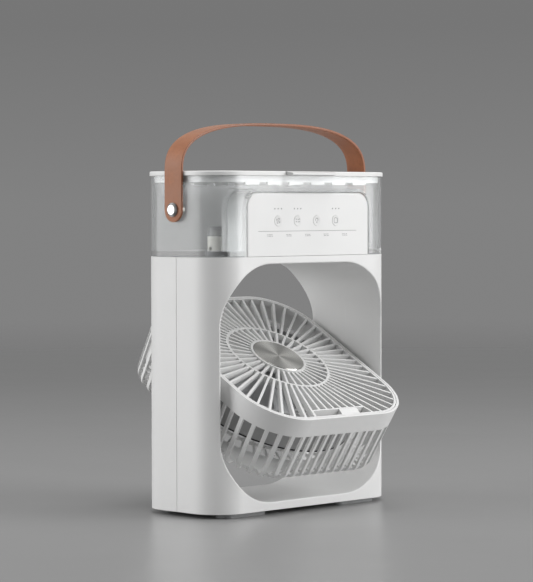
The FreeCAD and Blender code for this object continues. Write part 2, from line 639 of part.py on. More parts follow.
def build_buttons():
    front = d.body_depth / 2
    inner_face = -front + d.panel_wall
    for name, at in BUTTONS:
        x = button_column(at)
        cap = rod(f"cap_{name}", d.button_radius, (x, -front - d.button_proud, d.button_level),
                  d.button_proud + d.panel_wall + 0.3, "Y")
        flange = rod(f"flange_{name}", d.button_flange, (x, inner_face + 0.15, d.button_level), 0.8, "Y")
        dish = doc.addObject("Part::Sphere", f"dish_{name}")
        bind(dish, Radius=Size("24", 24), Placement__Base__x=x, Placement__Base__z=d.button_level,
             Placement__Base__y=-front - d.button_proud - 24 + 0.25)
        keep(cut(f"button_{name}_part", fuse(f"button_{name}_blank", cap, flange), dish), f"button_{name}")


def build_boards():
    front = -d.board_front
    half = d.board_width / 2
    board = box("board", (-half, half), (front, front + d.board_thickness), (d.board_low, d.board_high))
    keep(board, "control_board")
    switches = doc.addObject("Part::Compound", "switch_group")
    members = []
    for name, at in BUTTONS:
        x = button_column(at)
        level = d.button_level
        case = box(f"switch_case_{name}", (x - 2.6, x + 2.6), (front - 1.6, front), (level - 2.6, level + 2.6))
        plunger = rod(f"switch_plunger_{name}", Size("1.2", 1.2), (x, front - 2.1, level), 0.6, "Y")
        members.append(fuse(f"switch_{name}", case, plunger))
    switches.Links = members
    keep(switches, "tact_switches")
    pad_front = front - 3.4
    sheet_half = 1.5 * d.button_pitch + 8
    web = box("pad_web", (d.button_shift - sheet_half, d.button_shift + sheet_half),
              (pad_front + 0.5, pad_front + 1.2),
              (d.button_level - 5.5, d.button_level + 5.5))
    domes = [taper(f"pad_dome_{name}", Size("2.4", 2.4), Size("3.6", 3.6),
                   (button_column(at), pad_front, d.button_level), 0.6, "Y") for name, at in BUTTONS]
    keep(fuse("pad_solid", web, *domes), "button_pad")
    lamp = box("lamp_base", (-32, 32), (-42, -30), (d.panel_bottom + 1.3, d.panel_bottom + 2.5))
    emitters = [box(f"lamp_chip_{index}", (x - 1.7, x + 1.7), (-37.7, -34.3),
                    (d.panel_bottom + 2.4, d.panel_bottom + 3.8)) for index, x in enumerate((-24, -8, 8, 24))]
    keep(fuse("lamp_solid", lamp, *emitters), "lamp_board")


def build_mist():
    for word, sign in (("left", -1), ("right", 1)):
        x = sign * d.wick_x
        y = d.wick_y
        floor = d.tank_bottom + d.tank_floor
        seal_outer = rod(f"seal_plug_{word}", d.cup_radius - 1, (x, y, d.tank_bottom), d.tank_floor)
        seal_bore = rod(f"seal_bore_{word}", d.disc_radius - 1.2, (x, y, d.tank_bottom - 1), 6)
        seat = rod(f"seal_seat_{word}", d.disc_radius, (x, y, d.disc_level), d.disc_thickness)
        keep(cut(f"seal_part_{word}", seal_outer, seal_bore, seat), f"mist_seal_{word}")
        keep(rod(f"disc_{word}", d.disc_radius, (x, y, d.disc_level), d.disc_thickness), f"mist_disc_{word}")
        keep(rod(f"wick_core_{word}", d.wick_radius, (x, y, d.disc_level + d.disc_thickness),
                 d.wick_top - d.disc_level - d.disc_thickness), f"wick_{word}")
        cup_wall = rod(f"cup_wall_{word}", d.cup_radius, (x, y, floor), d.cup_top - floor)
        cup_bore = rod(f"cup_bore_{word}", d.cup_bore, (x, y, floor - 1), d.cup_top - floor - 1)
        cup_throat = rod(f"cup_throat_{word}", d.wick_radius, (x, y, floor), d.cup_top - floor + 1)
        ports = [box(f"cup_port_{word}_{turn}", (x - (9 if turn else 1.5), x + (9 if turn else 1.5)),
                     (y - (1.5 if turn else 9), y + (1.5 if turn else 9)), (floor - 1, floor + 2.2))
                 for turn in (0, 1)]
        keep(cut(f"cup_part_{word}", cup_wall, cup_bore, cup_throat, *ports), f"wick_cup_{word}")
        cap_outer = rod(f"cap_outer_{word}", d.cup_radius, (x, y, d.cup_top), d.cap_top - d.cup_top)
        cap_bore = rod(f"cap_bore_{word}", d.cup_radius - 1.4, (x, y, d.cup_top - 1),
                       d.cap_top - d.cup_top - 0.4)
        keep(cut(f"cap_part_{word}", cap_outer, cap_bore), f"wick_cap_{word}")
        collar = rod(f"nozzle_collar_{word}", d.nozzle_radius, (x, y, d.window_top), d.body_top - d.window_top)
        throat = taper(f"nozzle_throat_{word}", d.nozzle_bore + 1, d.nozzle_bore, (x, y, d.window_top), 7.5)
        keep(cut(f"nozzle_part_{word}", collar, throat), f"mist_nozzle_{word}")


# ---------------------------------------------------------------- fan head


HEAD = Placement(Vector(0, 0, d.tilt_level.number), Rotation(Vector(1, 0, 0), d.tilt_angle.number))


def head_prism(name, inset, rear_inset, rear_round):
    """The head's outline padded from the front towards the rear with its draft and its rounded rear edge."""
    body = doc.addObject("PartDesign::Body", name)
    sketch = sketch_on(body, name + "_outline", "XY", d.head_front, d.head_front, (0, 0))
    draw_rounded_rectangle(sketch, d.head_width - 2 * inset, d.head_height - 2 * inset, d.head_corner - inset)
    pad = body.newObject("PartDesign::Pad", name + "_pad")
    pad.Profile = sketch
    pad.Reversed = True
    bind(pad, Length=d.head_depth - rear_inset, TaperAngle=-d.head_draft)
    doc.recompute()
    rear = (d.head_front - d.head_depth + rear_inset).number
    return round_edges(body, name + "_rounding", rear_round, lambda point: abs(point.z - rear) < 0.01)


def skirt_slots():
    """The slots between the cage's bars, each one a prism that also reaches in under the rear edge."""
    half_w = d.head_width.number / 2
    half_h = d.head_height.number / 2
    corner = d.head_corner.number
    reach = d.slot_reach.number
    bar = d.slot_bar.number
    corner_bar = d.slot_bar_corner.number
    top = d.head_front.number - d.band_depth.number
    height = top + 60
    slots = []

    def straight(count, run, distance, turn):
        pitch = run / count
        for index in range(count):
            middle = (index + 0.5) * pitch - run / 2
            corner_point = Vector(middle - (pitch - bar) / 2, distance - reach, -60)
            slot = Part.makeBox(pitch - bar, reach + 5, height, corner_point)
            slot.rotate(Vector(0, 0, 0), Vector(0, 0, 1), turn)
            slots.append(slot)

    straight(int(d.slots_across.number), 2 * (half_w - corner), half_h, 0)
    straight(int(d.slots_up.number), 2 * (half_h - corner), half_w, 90)
    straight(int(d.slots_across.number), 2 * (half_w - corner), half_h, 180)
    straight(int(d.slots_up.number), 2 * (half_h - corner), half_w, 270)
    per_corner = int(d.slots_corner.number)
    step = math.pi / 2 / per_corner
    near = corner - reach
    far = corner + 5
    for sign_x, sign_y in ((1, 1), (-1, 1), (-1, -1), (1, -1)):
        centre = Vector(sign_x * (half_w - corner), sign_y * (half_h - corner), -60)
        for index in range(per_corner):
            angle = (index + 0.5) * step
            outline = []
            for radius, side in ((near, -1), (far, -1), (far, 1), (near, 1)):
                sweep = side * (step / 2 - corner_bar / 2 / radius)
                outline.append(centre + Vector(sign_x * radius * math.cos(angle + sweep),
                                               sign_y * radius * math.sin(angle + sweep), 0))
            face = Part.Face(Part.makePolygon([*outline, outline[0]]))
            slots.append(face.extrude(Vector(0, 0, height)))
    return Part.makeCompound(slots)


def ring_of_ribs(name, rings, spokes, top, depth):
    """Concentric rings joined by radial ribs. Rings are (inner, outer), spokes (count, from, to, width)."""
    members = []
    for index, (inner, outer) in enumerate(rings):
        start = (0, 0, top - depth)
        if number_of(inner) > 0:
            members.append(tube(f"{name}_ring_{index}", outer, inner, start, depth))
        else:
            members.append(rod(f"{name}_disc_{index}", outer, start, depth))
    for index, (count, inner, outer, width, phase) in enumerate(spokes):
        body = doc.addObject("PartDesign::Body", f"{name}_spokes_{index}")
        body.AllowCompound = True
        sketch = sketch_on(body, f"{name}_spoke_plan_{index}", "XY", top - depth, top, (0, 0))
        x0, x1, half = number_of(inner), number_of(outer), number_of(width) / 2
        corners = [Vector(x0, -half, 0), Vector(x1, -half, 0), Vector(x1, half, 0), Vector(x0, half, 0)]
        for corner in range(4):
            sketch.addGeometry(Part.LineSegment(corners[corner], corners[(corner + 1) % 4]), False)
        for corner in range(4):
            sketch.addConstraint(Sketcher.Constraint("Coincident", corner, 2, (corner + 1) % 4, 1))
        for line, direction in ((0, "Horizontal"), (1, "Vertical"), (2, "Horizontal"), (3, "Vertical")):
            sketch.addConstraint(Sketcher.Constraint(direction, line))
        below = sketch.addConstraint(Sketcher.Constraint("DistanceY", 0, 1, -1, 1, half))
        near = sketch.addConstraint(Sketcher.Constraint("DistanceX", -1, 1, 0, 1, x0))
        length = sketch.addConstraint(Sketcher.Constraint("DistanceX", 0, 1, 0, 2, x1 - x0))
        thick = sketch.addConstraint(Sketcher.Constraint("DistanceY", 1, 1, 1, 2, 2 * half))
        for constraint, size in ((below, width / 2), (near, inner), (length, outer - inner), (thick, width)):
            sketch.setExpression(f"Constraints[{constraint}]", text_of(size))
        pad = body.newObject("PartDesign::Pad", f"{name}_spoke_{index}")
        pad.Profile = sketch
        bind(pad, Length=depth)
        doc.recompute()
        pattern = body.newObject("PartDesign::PolarPattern", f"{name}_spoke_ring_{index}")
        pattern.Originals = [pad]
        pattern.Axis = (sketch, ["N_Axis"])
        pattern.Angle = 360
        bind(pattern, Occurrences=count)
        body.Tip = pattern
        doc.recompute()
        body.Placement = Placement(Vector(0, 0, 0), Rotation(Vector(0, 0, 1), phase))
        members.append(body)
    return members


def build_cage():
    wall = d.head_wall
    outer = head_prism("cage_outer", Size("0", 0), Size("0", 0), d.head_rear_round)
    inner = head_prism("cage_inner", wall, wall, d.head_rear_round - wall)
    slots = copy_of("cage_slots", skirt_slots())
    rear = d.head_front - d.head_depth
    opening = rod("cage_rear_opening", d.rear_window, (0, 0, rear - 1), wall + 2)
    shell = cut("cage_shell", outer, inner, slots, opening)
    rear_top = rear + wall
    grille = ring_of_ribs("rear", [(Size("0", 0), d.rear_hub), (d.rear_ring, d.rear_ring + d.ring_width)],
                          [(d.rear_ribs, d.rear_hub - 1, d.rear_window + 1, d.rear_rib, 0)], rear_top, wall)
    bosses = []
    for word, sign in (("left", -1), ("right", 1)):
        low = d.head_width / 2 - 3.6
        high = d.head_width / 2 - 0.4
        start = low if sign > 0 else -high
        bosses.append(rod(f"cage_boss_{word}", d.boss_radius, (start, 0, 0), high - low, "X"))
    pin_hole = rod("cage_pin_hole", d.pin_radius, (-d.body_width, 0, 0), 2 * d.body_width, "X")
    shaft_hole = rod("cage_motor_holes", Size("3", 3), (0, 0, rear - 1), wall + 2)
    whole = fuse("cage_whole", shell, *grille, *bosses)
    keep(cut("cage_part", whole, pin_hole, shaft_hole), "head_cage", HEAD)


def build_grille():
    inset = d.head_wall + d.rim_gap
    top = d.head_front - 0.1
    width = d.head_width - 2 * inset
    height = d.head_height - 2 * inset
    corner = d.head_corner - inset
    rim_low = top - d.rib_depth
    # The rim stays clear of the band's draft over the grille's depth.
    rim = rounded_prism("rim_outer", width - 0.4, height - 0.4, corner - 0.2, rim_low, top)
    rim_bore = rounded_prism("rim_bore", width - 2 * d.rim_width, height - 2 * d.rim_width, corner - d.rim_width,
                             rim_low - 1, top + 1)
    trim = rounded_prism("rib_trim", width - 2 * d.rim_width + 1, height - 2 * d.rim_width + 1,
                         corner - d.rim_width + 0.5, rim_low - 1, top + 1)
    rib_top = top - d.rib_recess
    star = ring_of_ribs("front", [(Size("0", 0), d.hub_ring), (d.mid_ring - d.ring_width, d.mid_ring)],
                        [(d.outer_ribs, d.mid_ring - 1, Size("125", 125), d.rib_thickness, 3),
                         (d.inner_ribs, d.hub_ring - 1, d.mid_ring - 1, d.rib_thickness, 0)],
                        rib_top, d.rib_depth - d.rib_recess)
    ribs = common("grille_ribs", fuse("grille_star", *star), trim)
    half = d.pocket_width / 2
    bar_y = -height / 2 + d.rim_width + d.pocket_height
    pocket = box("grille_pocket", (-half + 1.6, half - 1.6), (-height / 2 + d.rim_width - 0.2, bar_y),
                 (rim_low - 1, top - 0.4))
    bar = box("grille_bar", (-half, half), (bar_y, bar_y + 1.4), (top - d.pocket_depth, rib_top))
    ring = tube("cap_ring", d.hub_ring, d.cap_radius + 0.3, (0, 0, rib_top - 1), d.rib_recess + 1.3)
    frame = cut("grille_frame", rim, rim_bore)
    whole = fuse("grille_whole", cut("grille_ribs_open", ribs, pocket), frame, bar, ring)
    keep(whole, "front_grille", HEAD)
    seat = rib_top
    disc = rod("cap_disc", d.cap_radius, (0, 0, seat), 0.8)
    crown = taper("cap_crown", d.cap_radius, d.cap_radius - 0.8, (0, 0, seat + 0.8), 0.5)
    keep(fuse("cap_part", disc, crown), "centre_cap", HEAD)
    rim_y = -height / 2 + d.rim_width
    span = (d.latch_offset - d.latch_width / 2, d.latch_offset + d.latch_width / 2)
    slope = doc.addObject("Part::Wedge", "latch_slope")
    bind(slope, Xmin=span[0], Xmax=span[1], Ymin=rim_y, Ymax=bar_y, Zmin=rim_low, Zmax=rib_top - d.latch_drop)
    bind(slope, X2min=span[0], X2max=span[1], Z2min=rim_low, Z2max=rib_top - 0.1)
    hook = box("latch_hook", span, (rim_y, bar_y), (rim_low, rim_low + 1))
    keep(fuse("latch_part", slope, hook), "grille_latch", HEAD)


def build_duct():
    length = d.duct_front + d.duct_rear
    ring = tube("duct_ring", d.duct_radius + d.duct_wall, d.duct_radius, (0, 0, -d.duct_rear), length)
    arms = []
    half_w = d.head_width / 2 - d.head_wall - 0.6
    half_h = d.head_height / 2 - d.head_wall - 0.6
    start = d.duct_radius - 0.5
    low = d.head_front - d.band_depth
    for word, sign in (("left", -1), ("right", 1)):
        x = (start, half_w) if sign > 0 else (-half_w, -start)
        arms.append(box(f"duct_arm_{word}", x, (-16, -13), (low, d.duct_front)))
        arms.append(box(f"duct_arm_upper_{word}", x, (13, 16), (low, d.duct_front)))
    for word, sign in (("top", 1), ("bottom", -1)):
        y = (start, half_h) if sign > 0 else (-half_h, -start)
        arms.append(box(f"duct_arm_{word}", (-12, -9), y, (low, d.duct_front)))
        arms.append(box(f"duct_arm_second_{word}", (9, 12), y, (low, d.duct_front)))
    keep(fuse("duct_part", ring, *arms), "air_duct", HEAD)


def build_motor():
    rear = d.head_front - d.head_depth + d.head_wall
    can = rod("motor_can", d.motor_radius, (0, 0, rear), -d.motor_front - rear)
    nose = rod("motor_nose", Size("5", 5), (0, 0, -d.motor_front), 1.6)
    bore = rod("motor_bore", d.shaft_radius + d.fit_gap, (0, 0, rear + 2), 40)
    keep(cut("motor_part", fuse("motor_blank", can, nose), bore), "motor", HEAD)
    screws = doc.addObject("Part::Compound", "motor_screw_group")
    outer_face = d.head_front - d.head_depth
    members = []
    for index in range(3):
        angle = math.radians(90 + 120 * index)
        x = 11 * math.cos(angle)
        y = 11 * math.sin(angle)
        members.append(rod(f"motor_screw_{index}", Size("2.4", 2.4), (x, y, outer_face - 1.2), 1.2))
    screws.Links = members
    keep(screws, "motor_screws", HEAD)


def blade_section(radius, chord, pitch, camber):
    """One curved section of a blade, as a closed wire on a cylinder's tangent plane at a radius."""
    half = d.blade_thickness.number / 2
    lean = math.radians(pitch)
    along = Vector(math.cos(lean), 0, math.sin(lean))
    across = Vector(-math.sin(lean), 0, math.cos(lean))
    base = Vector(0, radius, 0.5)
    lower = [base + along * (chord * u) + across * (camber * (1 - 4 * u * u) - half) for u in (-0.5, 0, 0.5)]
    upper = [base + along * (chord * u) + across * (camber * (1 - 4 * u * u) + half) for u in (0.5, 0, -0.5)]
    edges = [Part.Arc(*lower).toShape(), Part.LineSegment(lower[-1], upper[0]).toShape(),
             Part.Arc(*upper).toShape(), Part.LineSegment(upper[-1], lower[0]).toShape()]
    return Part.Wire(edges)


def build_impeller():
    hub_radius = d.impeller_hub.number
    tip = d.impeller_radius.number
    sections = [blade_section(hub_radius - 3, 21, 44, 2.5), blade_section(48, 30, 34, 3.2),
                blade_section(tip + 2, 38, 26, 3.6)]
    blade = Part.makeLoft(sections, True, False)
    count = int(d.blades.number)
    blades = []
    for index in range(count):
        copy = blade.copy()
        copy.rotate(Vector(0, 0, 0), Vector(0, 0, 1), 360 * index / count)
        blades.append(copy)
    fan = copy_of("impeller_blades", blades[0].fuse(blades[1:]))
    sweep = rod("impeller_sweep", d.impeller_radius, (0, 0, -30), 60)
    trimmed = common("impeller_trimmed", fan, sweep)
    length = d.impeller_front + d.impeller_rear
    hub = rod("impeller_hub_can", d.impeller_hub, (0, 0, -d.impeller_rear), length - 2)
    crown = taper("impeller_crown", d.impeller_hub, d.impeller_hub - 2.5, (0, 0, d.impeller_front - 2), 2)
    hollow = rod("impeller_hollow", d.impeller_hub - 2, (0, 0, -d.impeller_rear - 1), length - 2)
    spindle = rod("impeller_spindle", Size("4", 4), (0, 0, -d.impeller_rear + 1), length - 2)
    bore = rod("impeller_bore", d.shaft_radius, (0, 0, -20), 60)
    shell = cut("impeller_shell", fuse("impeller_solid", hub, crown, trimmed), hollow)
    keep(cut("impeller_part", fuse("impeller_whole", shell, spindle), bore), "impeller", HEAD)
    rear = d.head_front - d.head_depth + d.head_wall
    shaft = rod("shaft_rod", d.shaft_radius, (0, 0, rear + 2.5), d.impeller_front - rear)
    tip = taper("shaft_tip", d.shaft_radius, d.shaft_radius - 0.4, (0, 0, d.impeller_front + 2.5), 0.5)
    keep(fuse("shaft_part", shaft, tip), "motor_shaft", HEAD)
    keep(tube("nut_cap", Size("3.6", 3.6), d.shaft_radius, (0, 0, d.impeller_front), 2.4), "impeller_nut", HEAD)


def build_pivots():
    level = d.tilt_level
    edge = d.head_width / 2
    for word, sign in (("left", -1), ("right", 1)):
        def along(low, high):
            return (low, high - low) if sign > 0 else (-high, high - low)
        start, length = along(edge - 3.6, d.pin_end)
        pin = rod(f"pin_rod_{word}", d.pin_radius, (start, 0, 0), length, "X")
        start, length = along(edge - 0.4, edge + 3.6)
        flange = rod(f"pin_flange_{word}", d.pin_flange, (start, 0, 0), length, "X")
        keep(fuse(f"pin_part_{word}", pin, flange), f"pivot_pin_{word}", HEAD)
        wall_face = d.window_width / 2
        start, length = along(wall_face - 1.4, wall_face)
        collar = rod(f"bush_collar_{word}", d.bush_radius + 2.5, (start, 0, level), length, "X")
        start, length = along(wall_face - 1.4, d.pin_end + 1.5)
        sleeve = rod(f"bush_sleeve_{word}", d.bush_radius, (start, 0, level), length, "X")
        start, length = along(wall_face - 3, d.pin_end + 0.4)
        bore = rod(f"bush_bore_{word}", d.pin_radius + d.fit_gap, (start, 0, level), length, "X")
        keep(cut(f"bush_part_{word}", fuse(f"bush_blank_{word}", collar, sleeve), bore), f"pivot_bush_{word}")


def check_document():
    """Stops if any object failed or any sub-part is missing or broken."""
    for item in doc.Objects:
        if "Invalid" in item.State or "Error" in item.State:
            raise RuntimeError(f"{item.Label} failed: {item.State}")
    for item in subparts:
        if item.Shape.isNull() or not item.Shape.isValid():
            raise RuntimeError(f"{item.Label} has no sound shape")


def export_parts():
    os.makedirs("parts", exist_ok=True)
    for item in subparts:
        item.Shape.exportStep(f"parts/{item.Label}.step")
        print(f"{item.Label}: {len(item.Shape.Solids)} solid(s), {item.Shape.Volume:.0f} mm3")


build_housing()
build_screws()
build_feet()
build_socket()
build_tank()
build_lid()
build_flap()
build_strap()
build_rivets()
build_control_box()
build_buttons()
build_boards()
build_mist()
build_cage()
build_grille()
build_duct()
build_motor()
build_impeller()
build_pivots()
doc.recompute()
check_document()
export_parts()
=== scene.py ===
import json
import math

import bmesh
import bpy
from mathutils import Matrix, Vector


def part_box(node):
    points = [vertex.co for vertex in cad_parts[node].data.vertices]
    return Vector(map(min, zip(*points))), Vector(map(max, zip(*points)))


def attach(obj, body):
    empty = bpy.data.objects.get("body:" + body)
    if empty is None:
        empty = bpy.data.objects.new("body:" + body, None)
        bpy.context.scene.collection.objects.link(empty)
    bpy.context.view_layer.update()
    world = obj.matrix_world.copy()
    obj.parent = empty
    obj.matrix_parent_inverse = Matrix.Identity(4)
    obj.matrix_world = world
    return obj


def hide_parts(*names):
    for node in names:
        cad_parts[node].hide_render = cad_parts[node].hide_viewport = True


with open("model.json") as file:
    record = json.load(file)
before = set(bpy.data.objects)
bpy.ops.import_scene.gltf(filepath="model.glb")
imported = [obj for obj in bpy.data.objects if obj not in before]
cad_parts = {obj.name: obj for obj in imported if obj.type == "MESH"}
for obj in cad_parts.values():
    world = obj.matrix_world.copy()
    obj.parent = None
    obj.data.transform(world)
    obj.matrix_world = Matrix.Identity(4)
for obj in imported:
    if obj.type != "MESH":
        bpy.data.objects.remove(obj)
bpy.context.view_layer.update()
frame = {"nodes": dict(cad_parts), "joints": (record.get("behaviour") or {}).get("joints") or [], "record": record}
record = frame["record"]
scene = bpy.context.scene
scene.view_settings.view_transform = "Standard"

MM = 0.001
FRONT_LAMP = (0.60, -0.79, 0.28)


# ---------------------------------------------------------------- camera and light


def add_camera():
    """The camera stands in front and to the left, a little above the middle of the object."""
    azimuth, pitch, roll = math.radians(-45.039), math.radians(1.974), math.radians(-0.108)
    distance, side, rise = 2.00308, -0.00167, 0.035624
    target = Vector((0, 0, 0.135))
    focal_length, sensor_width = 156.02, 36
    nearest, farthest = 0.05, 60
    right = Vector((math.cos(azimuth), math.sin(azimuth), 0))
    level = math.cos(pitch)
    back = Vector((math.sin(azimuth) * level, -math.cos(azimuth) * level, math.sin(pitch)))
    up = back.cross(right)
    turned = math.cos(roll) * right + math.sin(roll) * up
    upright = math.cos(roll) * up - math.sin(roll) * right
    eye = target + turned * side + upright * rise + back * distance
    data = bpy.data.cameras.new("camera")
    data.sensor_width = sensor_width
    data.lens = focal_length
    data.clip_start = nearest
    data.clip_end = farthest
    camera = bpy.data.objects.new("camera", data)
    basis = Matrix((turned, upright, back)).transposed().to_4x4()
    camera.matrix_world = Matrix.Translation(eye) @ basis
    scene.collection.objects.link(camera)
    scene.camera = camera


def add_softbox(name, direction, distance, width, height, power):
    """A rectangular lamp that faces the object and isn't seen by the camera."""
    aim = Vector((0, 0, 0.13))
    data = bpy.data.lights.new(name, "AREA")
    data.shape = "RECTANGLE"
    data.size = width
    data.size_y = height
    data.energy = power
    light = bpy.data.objects.new(name, data)
    offset = Vector(direction).normalized()
    light.location = aim + offset * distance
    light.rotation_mode = "QUATERNION"
    light.rotation_quaternion = offset.to_track_quat("Z", "Y")
    light.visible_camera = False
    scene.collection.objects.link(light)


def add_world():
    """An even grey studio, a little darker just above the horizon line and lighter overhead."""
    world = bpy.data.worlds.new("studio")
    world.use_nodes = True
    nodes, links = world.node_tree.nodes, world.node_tree.links
    place = nodes.new("ShaderNodeTexCoord")
    split = nodes.new("ShaderNodeSeparateXYZ")
    ramp = nodes.new("ShaderNodeValToRGB")
    links.new(place.outputs["Generated"], split.inputs[0])
    links.new(split.outputs["Z"], ramp.inputs["Fac"])
    stops = ((0.0, 0.222), (0.07, 0.182), (0.25, 0.19), (0.55, 0.30))
    elements = ramp.color_ramp.elements
    elements[0].position = stops[0][0]
    elements[1].position = stops[-1][0]
    for stop in stops[1:-1]:
        elements.new(stop[0])
    for element, stop in zip(elements, stops):
        grey = stop[1]
        element.color = (grey, grey, grey, 1)
    background = nodes["Background"]
    links.new(ramp.outputs["Color"], background.inputs["Color"])
    background.inputs["Strength"].default_value = 1
    scene.world = world


# ---------------------------------------------------------------- material tools


class Graph:
    """A material's node tree with short ways to add and join nodes."""

    def __init__(self, name):
        self.material = bpy.data.materials.new(name)
        self.material.use_nodes = True
        self.nodes = self.material.node_tree.nodes
        self.links = self.material.node_tree.links
        self.shader = self.nodes["Principled BSDF"]
        self.output = self.nodes["Material Output"]
        self.place = self.add("ShaderNodeTexCoord").outputs["Object"]

    def add(self, kind, inputs=None, **settings):
        """A new node, its inputs joined to sockets or set to values."""
        node = self.nodes.new(kind)
        for key, value in settings.items():
            setattr(node, key, value)
        for key, value in (inputs or {}).items():
            if isinstance(value, bpy.types.NodeSocket):
                self.links.new(value, node.inputs[key])
            else:
                node.inputs[key].default_value = value
        return node

    def put(self, key, value):
        """One input of the material's main shader, joined to a socket or set to a value."""
        if isinstance(value, bpy.types.NodeSocket):
            self.links.new(value, self.shader.inputs[key])
        else:
            self.shader.inputs[key].default_value = value

    def noise(self, scale, detail=3.0, stretch=None, roughness=0.5):
        place = self.place
        if stretch:
            place = self.add("ShaderNodeMapping", {"Vector": place, "Scale": stretch}).outputs["Vector"]
        wanted = {"Vector": place, "Scale": scale, "Detail": detail, "Roughness": roughness}
        return self.add("ShaderNodeTexNoise", wanted).outputs["Fac"]

    def cells(self, scale):
        """Distance to the middle of rounded cells."""
        wanted = {"Vector": self.place, "Scale": scale}
        node = self.add("ShaderNodeTexVoronoi", wanted, feature="SMOOTH_F1")
        return node.outputs["Distance"]

    def ramp(self, value, low, high, low_to=0.0, high_to=1.0):
        """A value moved from one range to another and held inside it."""
        wanted = {"Value": value, "From Min": low, "From Max": high, "To Min": low_to, "To Max": high_to}
        return self.add("ShaderNodeMapRange", wanted).outputs["Result"]

    def math(self, operation, first, second):
        return self.add("ShaderNodeMath", {0: first, 1: second}, operation=operation).outputs[0]

    def blend(self, factor, first, second):
        node = self.add("ShaderNodeMix", data_type="RGBA")
        for index, value in ((0, factor), (6, first), (7, second)):
            if isinstance(value, bpy.types.NodeSocket):
                self.links.new(value, node.inputs[index])
            else:
                node.inputs[index].default_value = value
        return node.outputs[2]

    def bump(self, height, distance, strength=1.0, normal=None):
        wanted = {"Height": height, "Distance": distance, "Strength": strength}
        node = self.add("ShaderNodeBump", wanted)
        if normal is not None:
            self.links.new(normal, node.inputs["Normal"])
        return node.outputs["Normal"]


def rgba(red, green, blue):
    """An opaque colour."""
    return (red, green, blue, 1.0)


def shade(colour, factor):
    """The colour made darker or lighter, and opaque."""
    return rgba(*(min(1.0, channel * factor) for channel in colour[:3]))


def moulded_plastic(name, colour, rough, soft_edge=0.0):
    """Injection-moulded plastic: fine spark-eroded grain, faint flow variation and uneven gloss."""
    grain_scale, grain_depth = 2600, 0.00002
    g = Graph(name)
    flow = g.noise(14, 2)
    g.put("Base Color", g.blend(g.ramp(flow, 0.3, 0.7), shade(colour, 0.985), shade(colour, 1.012)))
    smears = g.noise(45, 4)
    g.put("Roughness", g.ramp(smears, 0.3, 0.7, rough - 0.04, rough + 0.05))
    g.put("IOR", 1.5)
    rounded = None
    if soft_edge:
        rounded = g.add("ShaderNodeBevel", {"Radius": soft_edge}, samples=4).outputs["Normal"]
    g.put("Normal", g.bump(g.noise(grain_scale, 3), grain_depth, 1.0, rounded))
    return g.material


def clear_plastic(name, colour, haze, rough):
    """Clear plastic with some milky haze and a soft sheen. Light passes through it to what is inside."""
    body_index, coat_index, gloss = 1.14, 1.46, 0.26
    passed_light = rgba(0.87, 0.875, 0.88)
    g = Graph(name)
    flow = g.noise(9, 2, (1, 1, 0.35))
    g.put("Base Color", g.blend(g.ramp(flow, 0.3, 0.7), shade(colour, 0.97), shade(colour, 1.02)))
    g.put("Transmission Weight", 1 - haze)
    g.put("Roughness", g.ramp(g.noise(60, 3), 0.3, 0.7, rough * 0.7, rough * 1.5))
    g.put("IOR", body_index)
    g.put("Normal", g.bump(g.noise(220, 2), 0.00001))
    sheen = g.add("ShaderNodeBsdfAnisotropic", {"Color": rgba(1, 1, 1), "Roughness": gloss}).outputs[0]
    behind = g.add("ShaderNodeNewGeometry").outputs["Backfacing"]
    glance = g.add("ShaderNodeFresnel", {"IOR": coat_index}).outputs[0]
    glance = g.math("MULTIPLY", glance, g.math("SUBTRACT", 1.0, behind))
    coated = g.add("ShaderNodeMixShader", {0: glance, 1: g.shader.outputs[0], 2: sheen}).outputs[0]
    ray = g.add("ShaderNodeLightPath").outputs["Is Shadow Ray"]
    through = g.add("ShaderNodeBsdfTransparent", {"Color": passed_light}).outputs[0]
    share = g.math("MULTIPLY", ray, 1 - haze * 0.5)
    mixed = g.add("ShaderNodeMixShader", {0: share, 1: coated, 2: through}).outputs[0]
    g.links.new(mixed, g.output.inputs["Surface"])
    return g.material


def metal(name, colour, rough):
    """Drawn or plated metal with fine lines along one direction."""
    line_scale, line_stretch, line_depth = 260, (1, 1, 40), 0.00001
    g = Graph(name)
    lines = g.noise(line_scale, 4, line_stretch, 0.6)
    g.put("Base Color", g.blend(g.ramp(lines, 0.35, 0.65), shade(colour, 0.9), shade(colour, 1.05)))
    g.put("Metallic", 1.0)
    g.put("Roughness", g.ramp(lines, 0.3, 0.7, rough - 0.06, rough + 0.08))
    g.put("Normal", g.bump(lines, line_depth))
    return g.material


